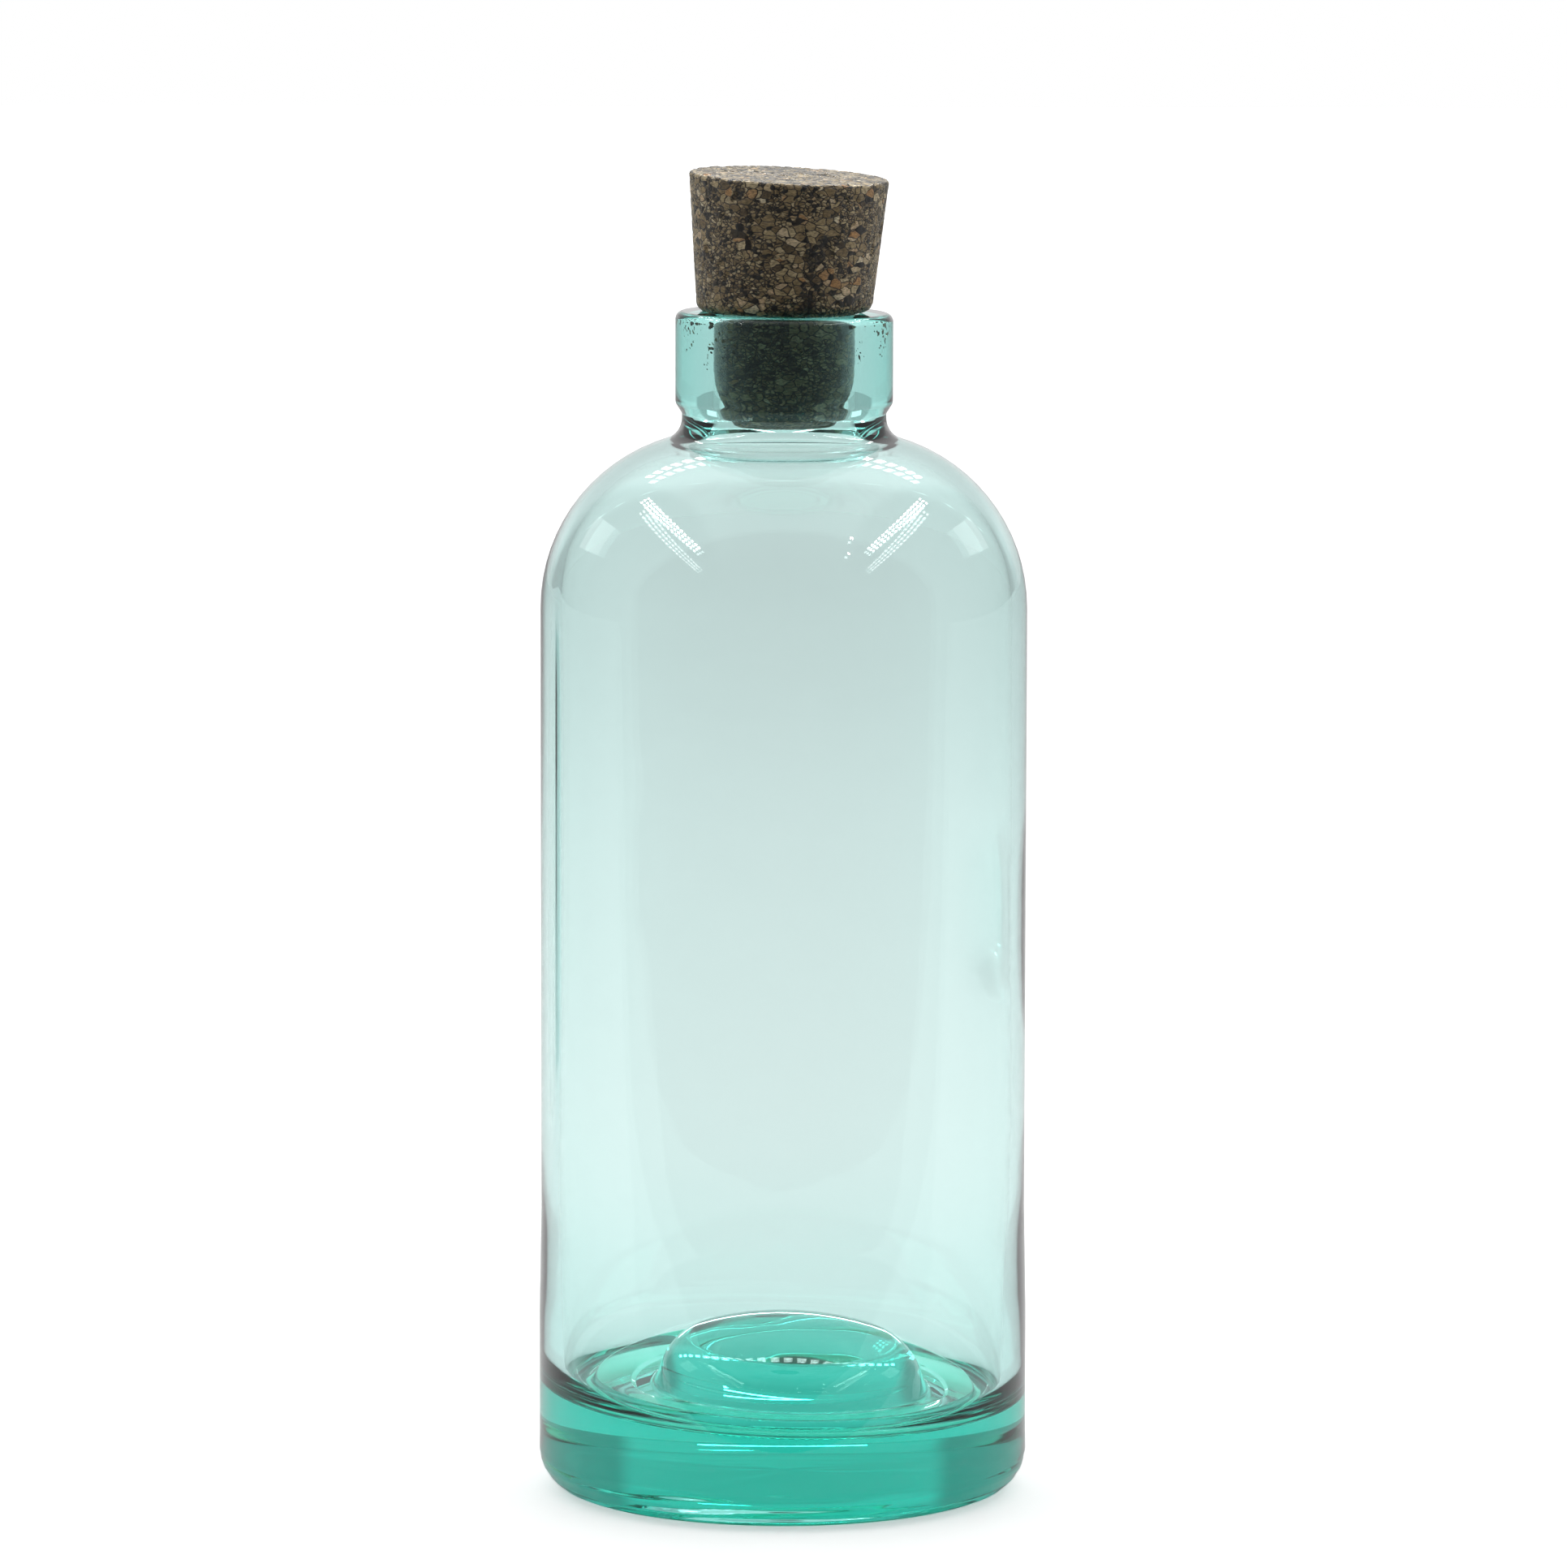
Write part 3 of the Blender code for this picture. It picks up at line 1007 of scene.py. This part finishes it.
@dataclass(frozen=True)
class Lamp:
    """A flat lamp, stretched between two points and facing the bottle.

    Args:
        name: the lamp's name.
        start: the middle of one end.
        end: the middle of the other end.
        width: its width.
        level: how bright its surface is, where 1 is white.
        dots: the rows of small lights along and across it, or none for an even surface.
        beam: the full angle of its beam, or none where it shines to all sides.
        aim: the height on the bottle's axis that it faces.
    """

    name: str
    start: tuple[float, float, float]
    end: tuple[float, float, float]
    width: float
    level: float
    dots: tuple[int, int] | None = None
    beam: float | None = None
    aim: float = 0.1

    def hang(self) -> None:
        """Make the lamp and put it in its place."""
        start, end = Vector(self.start), Vector(self.end)
        middle = (start + end) / 2
        length = (end - start).normalized()
        facing = middle - Vector((0.0, 0.0, self.aim))
        facing = (facing - facing.dot(length) * length).normalized()
        light = bpy.data.lights.new(self.name, "AREA")
        light.shape = "RECTANGLE"
        light.size = (end - start).length
        light.size_y = self.width
        light.energy = self.level * math.pi * light.size * light.size_y
        if self.dots:
            self.light_dots(light)
        if self.beam:
            light.spread = self.beam
            light.energy *= math.tan(self.beam / 2) ** 2 / 3
        lamp = bpy.data.objects.new(self.name, light)
        axes = Matrix((length, facing.cross(length), facing)).transposed()
        lamp.matrix_world = Matrix.Translation(middle) @ axes.to_4x4()
        bpy.context.scene.collection.objects.link(lamp)

    def light_dots(self, light: bpy.types.Light) -> None:
        """Break the lamp's surface up into rows of small round lights."""
        light.use_nodes = True
        graph = Graph(light.node_tree)
        place = graph.add("ShaderNodeNewGeometry").outputs["Parametric"]
        axes = graph.add("ShaderNodeSeparateXYZ", None, Vector=place).outputs
        waves = [
            graph.maths("SINE", graph.maths("MULTIPLY", axis, math.pi * count))
            for axis, count in zip((axes["X"], axes["Y"]), self.dots)
        ]
        dots = graph.maths("ABSOLUTE", graph.maths("MULTIPLY", *waves))
        strength = light.node_tree.nodes["Emission"].inputs["Strength"]
        graph.feed(strength, graph.span(dots, 0.4, 0.75, 0.0, 1.0))


@dataclass
class PhotoTent:
    """The white tent that the bottle stands in: its floor, its lit cloth and its rows of small lamps.

    Args:
        floor: the floor's looks.
        floor_side: how far the floor reaches to each side.
        floor_front: the floor's front edge.
        floor_back: its back edge.
        back: the light of the cloth high behind the bottle and above it.
        dim_back: its light at the floor's edge and half way up.
        horizon: the heights, as shares of the whole way up, between which low_back is reached.
        dim_rise: the heights between which it falls back to dim_back.
        back_rise: the heights between which it rises to back.
        low_back: its light in a band a little above the floor, which the foot shows.
        side: the light of the cloth to the left and right.
        side_edge: how far to the side, as a share of the whole way, the side cloth begins and is reached.
        front: the light that comes in through the tent's open front.
        front_edge: how far to the back, as shares of the whole way, the front begins and has ended.
        row_level: how bright the rows of lamps are.
        outer_level: how bright the outer rows are.
        spark_level: how bright the two single lamps on the right are.
        far_level: how bright the lamps low behind the tent are, whose narrow beams only meet the foot.
        far_beam: the full angle of their beams.
        far_width: how tall they are.
        far_aim: the height on the bottle's axis that they face, below the floor to spare the shoulder.
        far_distance: how far from the bottle's axis they stand.
        far_height: the height of their middle.
        far_count: how many there are.
        far_reach: how far to each side of the bottle they stand, as an angle.
        patch_level: how bright the cloth is next to the rows.
    """

    floor: PaleFloor
    floor_side: float = 2.5
    floor_front: float = -0.1
    floor_back: float = 4.0
    back: float = 1.0
    dim_back: float = 0.76
    low_back: float = 0.9
    horizon: tuple[float, float] = (0.0, 0.05)
    dim_rise: tuple[float, float] = (0.1, 0.18)
    back_rise: tuple[float, float] = (0.3, 0.6)
    side: float = 0.48
    side_edge: tuple[float, float] = (0.44, 0.54)
    front: float = 0.14
    front_edge: tuple[float, float] = (-0.97, 0.15)
    row_level: float = 26.0
    outer_level: float = 6.0
    spark_level: float = 40.0
    far_level: float = 30.0
    far_beam: float = math.radians(5.0)
    far_width: float = 0.1
    far_aim: float = -0.06
    far_distance: float = 3.9
    far_height: float = 0.22
    far_count: int = 11
    far_reach: float = math.radians(13.7)
    patch_level: float = 0.9

    def lay_floor(self) -> None:
        """Lay the floor under the bottle, which stands near its front edge."""
        mesh = bpy.data.meshes.new("tent_floor")
        side, near, far = self.floor_side, self.floor_front, self.floor_back
        rim = [(-side, near, 0.0), (side, near, 0.0), (side, far, 0.0), (-side, far, 0.0)]
        mesh.from_pydata(rim, [], [(0, 1, 2, 3)])
        mesh.materials.append(self.floor.material())
        floor = bpy.data.objects.new("tent_floor", mesh)
        bpy.context.scene.collection.objects.link(floor)

    def hang_cloth(self) -> None:
        """Light the scene from all round, white to the camera and darker where the tent is open."""
        world = bpy.data.worlds.new("tent_cloth")
        bpy.context.scene.world = world
        world.use_nodes = True
        world.node_tree.nodes.clear()
        graph = Graph(world.node_tree)
        way = graph.add("ShaderNodeTexCoord").outputs["Generated"]
        axes = graph.add("ShaderNodeSeparateXYZ", None, Vector=way).outputs
        horizon = graph.span(axes["Z"], *self.horizon, self.dim_back, self.low_back)
        above = graph.span(axes["Z"], *self.back_rise, self.dim_back, self.back)
        behind = graph.blend(graph.span(axes["Z"], *self.dim_rise, 0.0, 1.0), horizon, above)
        aside = graph.span(graph.maths("ABSOLUTE", axes["X"]), *self.side_edge, 0.0, 1.0)
        around = graph.blend(aside, behind, self.side)
        level = graph.blend(graph.span(axes["Y"], *self.front_edge, 0.0, 1.0), self.front, around)
        camera = graph.add("ShaderNodeLightPath").outputs["Is Camera Ray"]
        strength = graph.maths("MAXIMUM", camera, level)
        cloth = graph.add("ShaderNodeBackground", None, Color=grey(1.0), Strength=strength)
        output = graph.add("ShaderNodeOutputWorld")
        graph.tree.links.new(cloth.outputs[0], output.inputs["Surface"])

    def lamps(self) -> list[Lamp]:
        """The rows of small lamps under the tent's roof, and the bright cloth that they light."""
        lamps = []
        for side in Side:
            x = side.value
            word = side.name.lower()
            inner = ((0.54 * x, -0.44, 0.75), (0.54 * x, 0.34, 0.75))
            outer = ((0.74 * x, -0.72, 0.75), (0.60 * x, 0.24, 0.75))
            patch = ((0.80 * x, 0.30, 0.55), (0.75 * x, 0.62, 0.50))
            lamps += [
                Lamp(f"{word}_inner_row", *inner, 0.06, self.row_level, (16, 3)),
                Lamp(f"{word}_outer_row", *outer, 0.07, self.outer_level, (18, 3)),
                Lamp(f"{word}_patch", *patch, 0.2, self.patch_level),
            ]
        behind = ((-0.45, 0.61, 0.76), (0.45, 0.61, 0.76))
        lamps.append(Lamp("back_row", *behind, 0.06, self.row_level, (20, 3)))
        for i, (x, y) in enumerate(((0.36, -0.35), (0.42, -0.54))):
            ends = ((x - 0.012, y, 0.75), (x + 0.012, y, 0.75))
            lamps.append(Lamp(f"spark_{i}", *ends, 0.024, self.spark_level))
        return lamps + self.far_lamps()

    def far_lamps(self) -> list[Lamp]:
        """The lamps low behind the tent, side by side on an arc round the bottle."""
        lamps = []
        turns = [self.far_reach * (2 * i / self.far_count - 1) for i in range(self.far_count + 1)]
        away = self.far_distance
        points = [(away * math.sin(turn), away * math.cos(turn), self.far_height) for turn in turns]
        for i, (start, end) in enumerate(zip(points, points[1:])):
            name = f"far_lamp_{i}"
            lamps.append(
                Lamp(name, start, end, self.far_width, self.far_level, beam=self.far_beam, aim=self.far_aim)
            )
        return lamps

    def build(self) -> None:
        """Set up the whole tent."""
        self.lay_floor()
        self.hang_cloth()
        for lamp in self.lamps():
            lamp.hang()


@dataclass
class PhotoCamera:
    """A long lens a little above the bottle, looking slightly down along +Y.

    Args:
        lens: the focal length in millimetres, on a sensor 36 mm wide.
        distance: from the bottle's axis.
        height: above the floor.
        pitch: how far it looks down.
        roll: how far it is turned about its own line of sight.
    """

    lens: float = 214.3
    distance: float = 1.4189
    height: float = 0.2881
    pitch: float = math.radians(7.188)
    roll: float = math.radians(0.1)

    def build(self) -> None:
        """Place the camera and use it."""
        data = bpy.data.cameras.new("photo_camera")
        data.lens = self.lens
        data.sensor_width = 36.0
        camera = bpy.data.objects.new("photo_camera", data)
        turned = Matrix.Rotation(math.pi / 2 - self.pitch, 4, "X") @ Matrix.Rotation(self.roll, 4, "Z")
        camera.matrix_world = Matrix.Translation((0.0, -self.distance, self.height)) @ turned
        bpy.context.scene.collection.objects.link(camera)
        bpy.context.scene.camera = camera


def corners(bounds: Sequence[Sequence[float]]) -> list[list[float]]:
    """A box's corners as plain lists of numbers."""
    return [[float(value) for value in corner] for corner in bounds]


def main() -> None:
    """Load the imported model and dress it."""
    logging.basicConfig(level=logging.INFO, format="%(name)s: %(message)s")
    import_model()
    bpy.context.scene.view_settings.view_transform = "Standard"

    PhotoCamera().build()
    LOG.info("camera placed")
    PhotoTent(PaleFloor()).build()
    LOG.info("tent set up")
    for maker in (GlassBottle(TintedGlass()), CorkStopper(PressedCork())):
        piece = maker.build()
        LOG.info("%s: %d faces", piece.name, len(piece.data.polygons))


if __name__ == "__main__":
    main()
